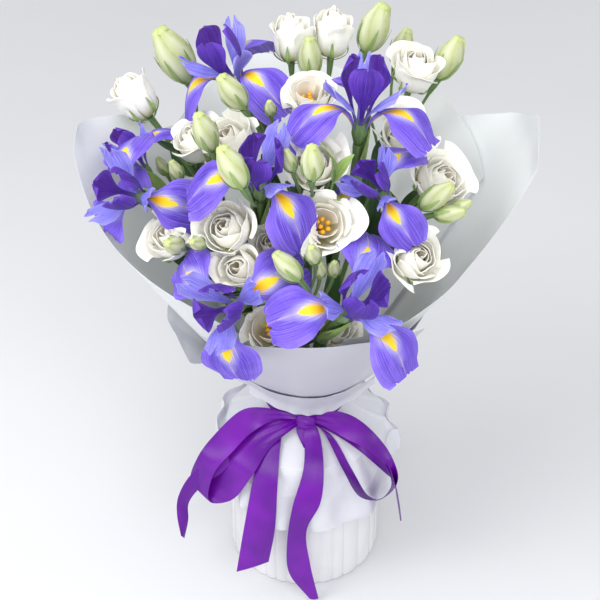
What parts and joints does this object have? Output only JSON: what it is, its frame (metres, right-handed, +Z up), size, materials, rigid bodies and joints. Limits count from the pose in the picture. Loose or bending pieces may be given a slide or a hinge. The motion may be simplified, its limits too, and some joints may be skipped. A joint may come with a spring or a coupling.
{
  "type": "irises in a vase",
  "caption": "Bouquet of blue-violet irises and white lisianthus, wrapped in frosted film and white paper, tied with a purple satin bow and standing in a pleated white vase of water.",
  "frame": {"origin": "centre of the vase's flat underside", "axes": "+Z up along the vase's axis, -Y towards the front of the bouquet with the bow, +X to the right of someone looking at the front"},
  "size_m": [0.3845, 0.3768, 0.5489],
  "materials": {
    "vase": "smooth white glaze over upright pleats",
    "water": null,
    "film": "frosted translucent wrapping film",
    "paper": "matt white crinkled paper",
    "ribbon": "purple double-faced satin",
    "iris_petals": null,
    "white_petals": null,
    "stems": null
  },
  "bodies": {
    "root": {"vase": "vase", "water": "water", "wrap_film_back": "film", "wrap_film_left": "film", "wrap_film_right": "film", "wrap_collar": "film", "wrap_cuff": "film", "wrap_paper": "paper", "ribbon": "ribbon", "iris_stem_1": "stems", "iris_stem_2": "stems", "iris_stem_3": "stems", "iris_stem_4": "stems", "iris_stem_5": "stems", "iris_stem_6": "stems", "iris_stem_7": "stems", "iris_stem_8": "stems", "iris_bloom_1": "iris_petals", "iris_bloom_2": "iris_petals", "iris_bloom_3": "iris_petals", "iris_bloom_4": "iris_petals", "iris_bloom_5": "iris_petals", "iris_bloom_6": "iris_petals", "iris_bloom_7": "iris_petals", "iris_bloom_8": "iris_petals", "lisianthus_spray_1": "stems", "lisianthus_spray_2": "stems", "lisianthus_spray_3": "stems", "lisianthus_spray_4": "stems", "lisianthus_spray_5": "stems", "lisianthus_spray_6": "stems", "lisianthus_spray_7": "stems", "lisianthus_spray_8": "stems", "lisianthus_bloom_1": "white_petals", "lisianthus_bloom_2": "white_petals", "lisianthus_bloom_3": "white_petals", "lisianthus_bloom_4": "white_petals", "lisianthus_bloom_5": "white_petals", "lisianthus_bloom_6": "white_petals", "lisianthus_bloom_7": "white_petals", "lisianthus_bloom_8": "white_petals", "lisianthus_bloom_9": "white_petals", "lisianthus_bloom_10": "white_petals", "lisianthus_bloom_11": "white_petals", "lisianthus_bloom_12": "white_petals", "lisianthus_bloom_13": "white_petals", "lisianthus_bloom_14": "white_petals", "lisianthus_bloom_15": "white_petals", "lisianthus_bloom_16": "white_petals", "lisianthus_bloom_17": "white_petals", "lisianthus_bloom_18": "white_petals"}
  },
  "joints": []
}
